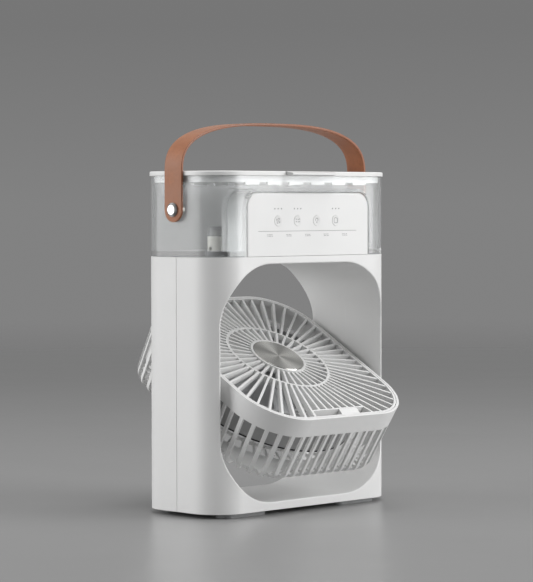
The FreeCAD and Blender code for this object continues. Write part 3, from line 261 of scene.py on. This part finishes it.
def spun_metal(name, colour, rough=0.24, painted_wedge_depth=0.42):
    """Face-turned metal: fine rings about the piece's own Z axis and the highlights they spread, plus painted
    highlight and shade: the colour lighter and darker in four wedges round the axis.
    """
    g = Graph(name)
    split = g.add("ShaderNodeSeparateXYZ", {"Vector": g.place})
    x, y = split.outputs["X"], split.outputs["Y"]
    radius = g.math("SQRT", g.math("ADD", g.math("MULTIPLY", x, x), g.math("MULTIPLY", y, y)), 0.0)
    along = g.add("ShaderNodeCombineXYZ", {"X": radius}).outputs["Vector"]
    rings = g.add("ShaderNodeTexNoise", {"Vector": along, "Scale": 3800, "Detail": 4.0}).outputs["Fac"]
    turned = g.blend(g.ramp(rings, 0.3, 0.7), shade(colour, 0.98), shade(colour, 1.01))
    # Painted highlight and shade: the colour is lighter and darker in four wedges round the axis, standing in for
    # the light that concentric scratches catch.
    painted_wedge_wave = g.math("COSINE", g.math("MULTIPLY", g.math("ARCTAN2", y, x), 4.0), 0.0)
    painted_wedge_level = g.ramp(painted_wedge_wave, -1.0, 1.0, 1 - painted_wedge_depth, 1.0)
    painted_wedge_rgb = g.add("ShaderNodeCombineXYZ", {"X": painted_wedge_level, "Y": painted_wedge_level, "Z": painted_wedge_level}).outputs["Vector"]
    tone = g.add("ShaderNodeMix", {0: 1.0}, data_type="RGBA", blend_type="MULTIPLY")
    g.links.new(turned, tone.inputs[6])
    g.links.new(painted_wedge_rgb, tone.inputs[7])
    g.put("Base Color", tone.outputs[2])
    g.put("Metallic", 1.0)
    g.put("Roughness", g.ramp(rings, 0.3, 0.7, rough - 0.02, rough + 0.03))
    g.put("Anisotropic", 0.85)
    g.put("Anisotropic Rotation", 0.25)
    tangent = g.add("ShaderNodeTangent", direction_type="RADIAL", axis="Z").outputs["Tangent"]
    g.put("Tangent", tangent)
    g.put("Normal", g.bump(rings, 0.000004))
    return g.material


def leather(name, colour, rough=0.5, depth=0.00009):
    """Smooth dyed leather: pebbled grain, fine pores, cloudy dye and slightly waxed high spots."""
    g = Graph(name)
    pebble = g.cells(1500)
    pores = g.noise(3600, 3)
    clouds = g.noise(55, 4, roughness=0.6)
    mottle = g.noise(420, 3)
    tone = g.blend(g.ramp(clouds, 0.3, 0.7), shade(colour, 0.84), shade(colour, 1.14))
    speck = g.blend(g.ramp(mottle, 0.35, 0.7), tone, shade(colour, 0.92))
    g.put("Base Color", g.blend(g.ramp(pebble, 0.55, 0.95), speck, shade(colour, 0.68)))
    g.put("Roughness", g.ramp(clouds, 0.3, 0.7, rough - 0.06, rough + 0.1))
    g.put("Sheen Weight", 0.12)
    first = g.bump(g.math("SUBTRACT", 1.0, pebble), depth, 0.8)
    g.put("Normal", g.bump(pores, depth * 0.35, 0.6, first))
    return g.material


def rubber(name, colour, rough):
    """Soft rubber or silicone: cloudy colour, dull uneven gloss and a fine grain."""
    g = Graph(name)
    g.put("Base Color", g.blend(g.ramp(g.noise(90, 4), 0.3, 0.7), shade(colour, 0.9), shade(colour, 1.1)))
    g.put("Roughness", g.ramp(g.noise(300, 3), 0.3, 0.7, rough - 0.08, rough + 0.1))
    g.put("Subsurface Weight", 0.1)
    g.put("Subsurface Radius", (0.002, 0.002, 0.002))
    g.put("Normal", g.bump(g.noise(1800, 3), 0.00003))
    return g.material


def fibre(name, colour):
    """Pressed fibre with strands along its length."""
    g = Graph(name)
    strands = g.noise(900, 5, (1, 1, 0.08), 0.7)
    g.put("Base Color", g.blend(g.ramp(strands, 0.3, 0.7), shade(colour, 0.8), shade(colour, 1.05)))
    g.put("Roughness", g.ramp(strands, 0.3, 0.7, 0.8, 0.95))
    g.put("Sheen Weight", 0.3)
    g.put("Normal", g.bump(strands, 0.0002))
    return g.material


def circuit_board(name, colour):
    """Solder mask over faint copper tracks."""
    g = Graph(name)
    wanted = {"Vector": g.place, "Scale": 240.0, "Mortar Size": 0.03}
    tracks = g.add("ShaderNodeTexBrick", wanted).outputs["Fac"]
    cloud = g.noise(120, 3)
    ground = g.blend(g.ramp(cloud, 0.3, 0.7), shade(colour, 0.85), shade(colour, 1.15))
    g.put("Base Color", g.blend(g.math("MULTIPLY", tracks, 0.5), ground, rgba(0.25, 0.42, 0.2)))
    g.put("Roughness", g.ramp(cloud, 0.3, 0.7, 0.3, 0.42))
    g.put("Normal", g.bump(tracks, 0.00004))
    return g.material


def printed_ink(name, colour):
    """Matt pad-printed ink, a little uneven."""
    g = Graph(name)
    wear = g.noise(900, 4)
    g.put("Base Color", g.blend(g.ramp(wear, 0.3, 0.75), shade(colour, 0.92), shade(colour, 1.1)))
    g.put("Roughness", g.ramp(wear, 0.3, 0.7, 0.5, 0.65))
    g.put("Normal", g.bump(wear, 0.00001))
    return g.material


def floor_surface(name, grey, fade_from, fade_to):
    """A smooth studio floor that melts into the surroundings far from the object."""
    g = Graph(name)
    cloud = g.noise(3, 3)
    g.put("Base Color", g.blend(g.ramp(cloud, 0.3, 0.7), rgba(grey, grey, grey), shade((grey,) * 3, 1.02)))
    g.put("Roughness", g.ramp(g.noise(8, 3), 0.3, 0.7, 0.30, 0.34))
    g.put("Normal", g.bump(g.noise(900, 2), 0.00001))
    away = g.add("ShaderNodeVectorMath", {0: g.place}, operation="LENGTH").outputs["Value"]
    fade = g.add("ShaderNodeMapRange", {"Value": away, "From Min": fade_from, "From Max": fade_to},
                 interpolation_type="SMOOTHSTEP").outputs["Result"]
    # The floor towards the front lamp lights the object, but the camera doesn't see its overlit part.
    along = (*FRONT_LAMP[:2], 0.0)
    towards = g.add("ShaderNodeVectorMath", {0: g.place, 1: along}, operation="DOT_PRODUCT")
    wanted = {"Value": towards.outputs["Value"], "From Min": 0.42, "From Max": 0.85}
    lit = g.add("ShaderNodeMapRange", wanted, interpolation_type="SMOOTHSTEP").outputs["Result"]
    seen = g.add("ShaderNodeLightPath").outputs["Is Camera Ray"]
    fade = g.math("MAXIMUM", fade, g.math("MULTIPLY", seen, lit))
    clear = g.add("ShaderNodeBsdfTransparent").outputs[0]
    mixed = g.add("ShaderNodeMixShader", {0: fade, 1: g.shader.outputs[0], 2: clear}).outputs[0]
    g.links.new(mixed, g.output.inputs["Surface"])
    return g.material


WHITE = (0.82, 0.82, 0.815)
TAN = (0.385, 0.150, 0.068)

MATERIALS = {
    "shell_white": moulded_plastic("shell_white", WHITE, 0.40, soft_edge=0.0003),
    "duct_grey": moulded_plastic("duct_grey", (0.40, 0.40, 0.40), 0.5),
    "flap_white": moulded_plastic("flap_white", WHITE, 0.36, soft_edge=0.0005),
    "screw_steel": metal("screw_steel", (0.62, 0.61, 0.58), 0.3),
    "foot_pad": rubber("foot_pad", (0.34, 0.345, 0.35), 0.45),
    "socket_metal": metal("socket_metal", (0.66, 0.66, 0.65), 0.25),
    "tank_clear": clear_plastic("tank_clear", (0.895, 0.905, 0.905), 0.10, 0.04),
    "seal_rubber": rubber("seal_rubber", (0.30, 0.305, 0.31), 0.6),
    "strap_leather": leather("strap_leather", TAN),
    "rivet_metal": metal("rivet_metal", (0.75, 0.75, 0.74), 0.24),
    "washer_plastic": moulded_plastic("washer_plastic", (0.55, 0.54, 0.52), 0.5),
    "button_white": moulded_plastic("button_white", (0.80, 0.80, 0.795), 0.45, soft_edge=0.0001),
    "light_pipe": moulded_plastic("light_pipe", (0.22, 0.225, 0.23), 0.3),
    "circuit_board": circuit_board("circuit_board", (0.03, 0.16, 0.06)),
    "switch_dark": moulded_plastic("switch_dark", (0.03, 0.03, 0.033), 0.4),
    "mist_disc": metal("mist_disc", (0.72, 0.70, 0.64), 0.3),
    "wick_cotton": fibre("wick_cotton", (0.80, 0.78, 0.70)),
    "cup_plastic": moulded_plastic("cup_plastic", (0.66, 0.65, 0.60), 0.45),
    "cap_clear": clear_plastic("cap_clear", (0.52, 0.53, 0.53), 0.30, 0.08),
    "cap_brushed": spun_metal("cap_brushed", (1.0, 0.985, 0.955)),
    "motor_metal": metal("motor_metal", (0.50, 0.50, 0.49), 0.32),
    "shaft_steel": metal("shaft_steel", (0.68, 0.68, 0.67), 0.2),
    "impeller_grey": moulded_plastic("impeller_grey", (0.62, 0.63, 0.64), 0.35),
    "pin_plastic": moulded_plastic("pin_plastic", (0.72, 0.72, 0.71), 0.4),
}
STRAP_EDGE = leather("strap_edge", (0.30, 0.105, 0.045), 0.42, 0.00004)
STRAP_LINING = leather("strap_lining", (0.26, 0.090, 0.034), 0.7, 0.00012)
PRINT = printed_ink("print_grey", (0.27, 0.27, 0.275))
# Dark rubber for the wick caps' rims; the same dark colour is painted shadow on the ring at the air duct's rear
# edge.
DARK_RUBBER_AND_PAINTED_SHADOW = rubber("dark_rubber_and_painted_shadow", (0.025, 0.025, 0.027), 0.6)
SILICONE = rubber("silicone_white", (0.74, 0.745, 0.745), 0.45)
# The rivet heads carry the same painted highlight and shade wedges in their colour as the centre cap.
SPUN_RIVET = spun_metal("rivet_spun", (0.46, 0.46, 0.455), 0.72, 0.55)


def dress_cad_nodes():
    """Each CAD node gets its slot's material, apart from the lid's seal, which is white silicone."""
    for row in record["subparts"]:
        node = frame["nodes"][row["node"]]
        material = SILICONE if row["node"] == "lid_seal" else MATERIALS[row["material_slot"]]
        if not node.data.materials:
            node.data.materials.append(material)
        for slot in node.material_slots:
            slot.link = "OBJECT"
            slot.material = material


# ---------------------------------------------------------------- piece tools


def add_piece(name, mesh, body, materials, placement=None):
    """A visible piece that rides a body and wears the given materials."""
    piece = bpy.data.objects.new(name, mesh)
    for material in materials:
        mesh.materials.append(material)
    scene.collection.objects.link(piece)
    if placement is not None:
        piece.matrix_world = placement
    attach(piece, body)
    return piece


def smooth(mesh, angle):
    """Smooth shading, with edges that turn by more than the angle left sharp."""
    for face in mesh.polygons:
        face.use_smooth = True
    mesh.set_sharp_from_angle(angle=math.radians(angle))


def lathe(name, profile, steps=96):
    """A turned piece about Z. Its (radius, height) points, in millimetres, run from axis to axis or
    round a closed outline."""
    build = bmesh.new()
    rings = []
    for radius, height in profile:
        reach, level = radius * MM, height * MM
        if radius == 0:
            rings.append([build.verts.new((0, 0, level))])
            continue
        angles = (2 * math.pi * step / steps for step in range(steps))
        rings.append([build.verts.new((reach * math.cos(a), reach * math.sin(a), level)) for a in angles])
    for lower, upper in zip(rings, rings[1:]):
        for step in range(steps):
            following = (step + 1) % steps
            if len(lower) == 1:
                build.faces.new((lower[0], upper[step], upper[following]))
            elif len(upper) == 1:
                build.faces.new((lower[step], upper[0], lower[following]))
            else:
                build.faces.new((lower[step], upper[step], upper[following], lower[following]))
    bmesh.ops.recalc_face_normals(build, faces=build.faces)
    mesh = bpy.data.meshes.new(name)
    build.to_mesh(mesh)
    build.free()
    smooth(mesh, 35)
    return mesh


def box_middle(node):
    """The middle of a CAD node's box."""
    low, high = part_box(node)
    return (low + high) / 2


def record_joint(name):
    """A joint's row in the frame."""
    return next(joint for joint in frame["joints"] if joint["name"] == name)


def head_placement():
    """The fan head's own frame: its origin on the pivot, +Z out of the grille."""
    pivot = Vector(record_joint("head_tilt")["pos_m"])
    axis = Vector(record_joint("impeller_spin")["axis"]).normalized()
    return Matrix.Translation(pivot) @ axis.to_track_quat("Z", "X").to_matrix().to_4x4()


# ---------------------------------------------------------------- carrying strap


STRAP_THICKNESS = 2.0 * MM
STRAP_SPRING = 263.5 * MM
STRAP_ROUNDNESS = 2.75
EDGE_ROLL = 0.3 * MM
GRAIN_BOW = 0.06 * MM
GRAIN_FACES, LINING_FACES = range(0, 4), range(10, 14)
TIP_STEPS = 14


def arch_line(half_span, spring, rise, power, foot, steps):
    """Points of the strap's middle line from the left rivet over the arch to the right one."""
    leg_steps = 13
    points = []
    for step in range(leg_steps):
        points.append(Vector((-half_span, 0, foot + (spring - foot) * step / leg_steps)))
    for step in range(steps + 1):
        angle = math.pi * (1 - step / steps)
        across = math.copysign(abs(math.cos(angle)) ** (2 / power), math.cos(angle))
        points.append(Vector((half_span * across, 0, spring + rise * math.sin(angle) ** (2 / power))))
    for step in range(leg_steps):
        points.append(Vector((half_span, 0, spring + (foot - spring) * (step + 1) / leg_steps)))
    return points


def even_line(points, pitch):
    """The same line with its points a set distance apart."""
    lengths = [0.0]
    for first, second in zip(points, points[1:]):
        lengths.append(lengths[-1] + (second - first).length)
    count = round(lengths[-1] / pitch)
    out = []
    index = 0
    for step in range(count + 1):
        target = lengths[-1] * step / count
        while index < len(points) - 2 and lengths[index + 1] < target:
            index += 1
        share = (target - lengths[index]) / max(lengths[index + 1] - lengths[index], 1e-9)
        out.append(points[index].lerp(points[index + 1], share))
    return out


def band_section(half, radius):
    """The band's outline as (across, out) points: grain side, rolled edge, lining, rolled edge."""
    roll = min(EDGE_ROLL, half * 0.9)
    flat = STRAP_THICKNESS / 2 - GRAIN_BOW
    corner = []
    for turn in (0.3, 0.7):
        angle = math.pi / 2 * turn
        corner.append((half - roll + roll * math.sin(angle), flat - roll * (1 - math.cos(angle))))
    back = corner[::-1]
    across = (-half + roll, -half * 0.5, 0, half * 0.5, half - roll)
    section = []
    for y in across:
        lift = GRAIN_BOW * (1 - (y / radius) ** 2)
        section.append((y, STRAP_THICKNESS / 2 + lift - GRAIN_BOW))
    section += [*corner, (half, 0)]
    section += [(y, -out) for y, out in back]
    section += [(y, -STRAP_THICKNESS / 2 + GRAIN_BOW * 0.4) for y in reversed(across)]
    section += [(-y, -out) for y, out in corner]
    section.append((-half, 0))
    section += [(-y, out) for y, out in back]
    return section


def strap_mesh(low, high):
    """A flat leather band with rolled edges and round ends, about its middle line."""
    radius = (high.y - low.y) / 2
    half_span = high.x - STRAP_THICKNESS / 2
    rise = high.z - STRAP_THICKNESS / 2 - STRAP_SPRING
    arch = arch_line(half_span, STRAP_SPRING, rise, STRAP_ROUNDNESS, low.z + radius, 160)
    line = even_line(arch, 1.2 * MM)
    # The ends go on below the rivets by the radius of their round tips.
    down = Vector((0, 0, -1))
    tips = [radius * math.sin(math.pi / 2 * step / TIP_STEPS) for step in range(1, TIP_STEPS + 1)]
    start = [line[0] + down * reach for reach in reversed(tips)]
    end = [line[-1] + down * reach for reach in tips]
    path = [*start, *line, *end]
    reaches = [*reversed(tips), *[0.0] * len(line), *tips]
    thinnest = 0.02 * MM
    build = bmesh.new()
    sections = []
    for index, (point, reach) in enumerate(zip(path, reaches)):
        before = path[max(index - 1, 0)]
        after = path[min(index + 1, len(path) - 1)]
        tangent = (after - before).normalized()
        normal = Vector((-tangent.z, 0, tangent.x))
        half = math.sqrt(max(radius * radius - reach * reach, thinnest ** 2))
        ring = band_section(half, radius)
        sections.append([build.verts.new(point + normal * out + Vector((0, y, 0))) for y, out in ring])
    count = len(sections[0])
    for first, second in zip(sections, sections[1:]):
        for item in range(count):
            following = (item + 1) % count
            face = build.faces.new((first[item], first[following], second[following], second[item]))
            if item in GRAIN_FACES:
                face.material_index = 0
            elif item in LINING_FACES:
                face.material_index = 2
            else:
                face.material_index = 1
    build.faces.new(sections[0])
    build.faces.new(list(reversed(sections[-1])))
    bmesh.ops.recalc_face_normals(build, faces=build.faces)
    mesh = bpy.data.meshes.new("strap_leather")
    build.to_mesh(mesh)
    build.free()
    smooth(mesh, 60)
    return mesh


def add_strap():
    """The leather strap with its painted edge and its lining."""
    low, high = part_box("handle_strap")
    mesh = strap_mesh(low, high)
    strap = add_piece("strap_leather", mesh, "handle",
                      [MATERIALS["strap_leather"], STRAP_EDGE, STRAP_LINING])
    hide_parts("handle_strap")


def add_rivets():
    """Domed turned heads over the ends of the rivets, a hair wider than the rivets themselves."""
    widening, sunk = 1.004, 1.72 * MM
    profile = [(0, -0.18), (5.3, -0.18), (5.4, -0.05), (5.4, 0.45), (5.25, 0.8), (4.9, 1.1), (4.3, 1.35),
               (3.4, 1.55), (2.3, 1.66), (1.2, 1.7), (0, 1.7)]
    for word, sign in (("left", -1), ("right", 1)):
        low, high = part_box(f"rivet_{word}")
        face = high.x if sign > 0 else low.x
        middle = box_middle(f"rivet_{word}")
        mesh = lathe(f"rivet_head_{word}", [(radius * widening, height) for radius, height in profile])
        turn = Matrix.Rotation(sign * math.pi / 2, 4, "Y")
        seat = Matrix.Translation((face - sign * sunk, middle.y, middle.z))
        add_piece(f"rivet_head_{word}", mesh, "base", [SPUN_RIVET], seat @ turn)


def add_centre_cap():
    """The turned metal disc in the middle of the grille, in its white ring."""
    seat = 20.9 * MM
    profile = [(0, 0.02), (21.15, 0.02), (21.15, 0.75), (20.9, 1.1), (20.4, 1.28), (19.9, 1.25),
               (15, 1.12), (10, 1.02), (5, 0.96), (1.2, 0.93), (0, 0.93)]
    mesh = lathe("cap_spun", profile, 128)
    placement = head_placement() @ Matrix.Translation((0, 0, seat))
    cap = add_piece("cap_spun", mesh, "head", [MATERIALS["cap_brushed"]], placement)
    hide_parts("centre_cap")


# ---------------------------------------------------------------- panel printing


def stroke_mesh(name, strokes, width, thickness):
    """Flat printed strokes in the XZ plane. Each stroke is a list of (x, z) points in millimetres."""
    build = bmesh.new()
    for stroke in strokes:
        points = [Vector((x, 0, z)) * MM for x, z in stroke]
        sections = []
        for index, point in enumerate(points):
            before = points[max(index - 1, 0)]
            after = points[min(index + 1, len(points) - 1)]
            tangent = (after - before).normalized()
            side = Vector((-tangent.z, 0, tangent.x)) * width * MM / 2
            depth = Vector((0, thickness * MM, 0))
            corners = (point + side, point - side, point - side + depth, point + side + depth)
            sections.append([build.verts.new(corner) for corner in corners])
        build.faces.new(sections[0])
        build.faces.new(list(reversed(sections[-1])))
        for first, second in zip(sections, sections[1:]):
            for item in range(4):
                following = (item + 1) % 4
                build.faces.new((first[item], first[following], second[following], second[item]))
    bmesh.ops.recalc_face_normals(build, faces=build.faces)
    mesh = bpy.data.meshes.new(name)
    build.to_mesh(mesh)
    build.free()
    return mesh


def arc_points(x, z, radius, start, end, steps):
    """Points of an arc between two angles in degrees."""
    angles = (math.radians(start + (end - start) * step / steps) for step in range(steps + 1))
    return [(round(x + radius * math.cos(a), 5), round(z + radius * math.sin(a), 5)) for a in angles]


def fan_icon():
    """Four bent blades round a hub."""
    blades, hub, reach, trail = 4, 0.25, 1.7, 1.35
    sweep = math.radians(52)
    strokes = []
    for turn in range(blades):
        base = math.radians(90 * turn + 45)
        side = base + sweep
        tip = (reach * math.cos(base), reach * math.sin(base))
        strokes.append([(hub * math.cos(base), hub * math.sin(base)), tip])
        strokes.append([tip, (trail * math.cos(side), trail * math.sin(side))])
    return strokes


def mist_icon():
    """Two broken waves, one above the other."""
    strokes = []
    for level, shift in ((0.85, 0.0), (-0.55, 0.3)):
        wave = []
        for step in range(17):
            wave.append((-1.6 + 0.2 * step + shift * 0.3, level + 0.22 * math.sin(step * 0.9)))
        strokes.append(wave[:7])
        strokes.append(wave[9:])
    return strokes


def lamp_icon():
    """A bulb over the two lines of its cap."""
    bulb = arc_points(0, 0.45, 0.95, -55, 235, 20)
    cap = [[(-reach, level), (reach, level)] for reach, level in ((0.5, -0.75), (0.35, -1.25))]
    return [bulb, *cap]


def timer_icon():
    """A square clock case, open at the top, with a short bar over the gap."""
    square = [(-1.35, -1.1), (-1.1, -1.35), (1.1, -1.35), (1.35, -1.1),
              (1.35, 1.1), (1.1, 1.35), (0.7, 1.35)]
    return [[(-0.7, 1.35), (-1.1, 1.35), (-1.35, 1.1), *square[:1]], square, [(-0.35, 1.6), (0.35, 1.6)]]


ICON_SCALE = 1.4
ICONS = {"fan": fan_icon, "mist": mist_icon, "lamp": lamp_icon, "timer": timer_icon}


def add_icons():
    """A printed icon on each button."""
    line_width, line_depth = 0.42, 0.12
    dish_radius, dish_depth, proud = 3.46 * MM, 0.25 * MM, 0.02 * MM
    for word, draw in ICONS.items():
        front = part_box(f"button_{word}")[0].y
        middle = box_middle(f"button_{word}")
        strokes = [[(x * ICON_SCALE, z * ICON_SCALE) for x, z in stroke] for stroke in draw()]
        mesh = stroke_mesh(f"icon_{word}", strokes, line_width, line_depth)
        # The button's face is a shallow dish, and the print follows it.
        for vertex in mesh.vertices:
            reach = (vertex.co.x ** 2 + vertex.co.z ** 2) / dish_radius ** 2
            vertex.co.y += dish_depth * max(0.0, 1 - reach)
        placement = Matrix.Translation((middle.x, front - proud, middle.z))
        add_piece(f"icon_{word}", mesh, f"{word}_button", [PRINT], placement)


def add_panel_print():
    """A fine rule under the buttons and a row of small generic marks below it."""
    ink, sunk = 0.06, 0.03 * MM
    rule_left, rule_right, rule_level, rule_width = -56.0, 53.8, 218.7, 0.32
    columns, column_pitch, column_shift = 5, 20.9, 1.5
    rows = ((216.0, 0.0), (214.9, 0.35))
    cells, cell_pitch, first_cell, mark_width = 4, 1.5, 3.0, 0.5
    short, long = 0.7, 1.0
    placement = Matrix.Translation((0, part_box("control_box")[0].y - sunk, 0))
    rule = [[(rule_left, rule_level), (rule_right, rule_level)]]
    mesh = stroke_mesh("panel_rule", rule, rule_width, ink)
    add_piece("panel_rule", mesh, "base", [PRINT], placement)
    marks = []
    for column in range(columns):
        middle = (column - 2) * column_pitch - column_shift
        for level, shift in rows:
            for cell in range(cells):
                x = middle - first_cell + shift + cell * cell_pitch
                marks.append([(x, level), (x + (long if (cell + column) % 2 else short), level)])
    mesh = stroke_mesh("panel_marks", marks, mark_width, ink)
    add_piece("panel_marks", mesh, "base", [PRINT], placement)


def add_light_lenses():
    """Small domed lenses over the indicator lights, three above each lit button."""
    pitch = 3.6 * MM
    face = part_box("control_box")[0].y
    level = box_middle("indicator_lights").z
    profile = [(0, -0.3), (0.62, -0.3), (0.62, -0.02), (0.5, 0.02), (0.28, 0.05), (0, 0.06)]
    toward = Matrix.Rotation(math.pi / 2, 4, "X")
    for word in ("fan", "mist", "timer"):
        column = box_middle(f"button_{word}").x
        for dot in (-1, 0, 1):
            name = f"light_lens_{word}_{dot + 2}"
            mesh = lathe(name, profile, 20)
            seat = Matrix.Translation((column + dot * pitch, face, level))
            add_piece(name, mesh, "base", [MATERIALS["light_pipe"]], seat @ toward)


# ---------------------------------------------------------------- painted duct shadow and cap rims


def add_duct_painted_shadow():
    """A dark ring round the air duct's rear edge: painted shadow standing in for the shadow gap there."""
    profile = [(73.9, -19.1), (75.8, -19.1), (75.8, -17.9), (75.62, -17.9), (75.62, -18.0), (73.9, -18.0),
               (73.9, -19.1)]
    mesh = lathe("duct_painted_shadow", profile, 128)
    add_piece("duct_painted_shadow", mesh, "head", [DARK_RUBBER_AND_PAINTED_SHADOW], head_placement())


def add_cap_rims():
    """A dark ring round the top of each clear wick cap."""
    profile = [(7.2, -1.0), (8.19, -1.0), (8.19, -0.02), (7.2, -0.02), (7.2, -1.0)]
    for word in ("left", "right"):
        middle = box_middle(f"wick_cap_{word}")
        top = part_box(f"wick_cap_{word}")[1].z
        mesh = lathe(f"wick_cap_rim_{word}", profile, 64)
        placement = Matrix.Translation((middle.x, middle.y, top))
        add_piece(f"wick_cap_rim_{word}", mesh, "base", [DARK_RUBBER_AND_PAINTED_SHADOW], placement)


# ---------------------------------------------------------------- stage


def add_floor():
    """A wide round floor that fades out before its edge."""
    radius, grey, fade_from, fade_to = 6, 0.31, 0.5, 3.4
    build = bmesh.new()
    bmesh.ops.create_circle(build, cap_ends=True, segments=96, radius=radius)
    mesh = bpy.data.meshes.new("floor")
    build.to_mesh(mesh)
    build.free()
    floor = bpy.data.objects.new("floor", mesh)
    mesh.materials.append(floor_surface("floor_pale", grey, fade_from, fade_to))
    scene.collection.objects.link(floor)


add_camera()
add_world()
add_softbox("key_front", FRONT_LAMP, 1.9, 1.1, 1.5, 28)
add_softbox("key_side", (-0.80, 0.60, 0.28), 1.9, 1.7, 1.5, 25)
add_softbox("top", (0.05, -0.1, 1.0), 1.7, 1.3, 1.0, 15)
add_floor()
dress_cad_nodes()
add_strap()
add_rivets()
add_centre_cap()
add_icons()
add_panel_print()
add_light_lenses()
add_duct_painted_shadow()
add_cap_rims()
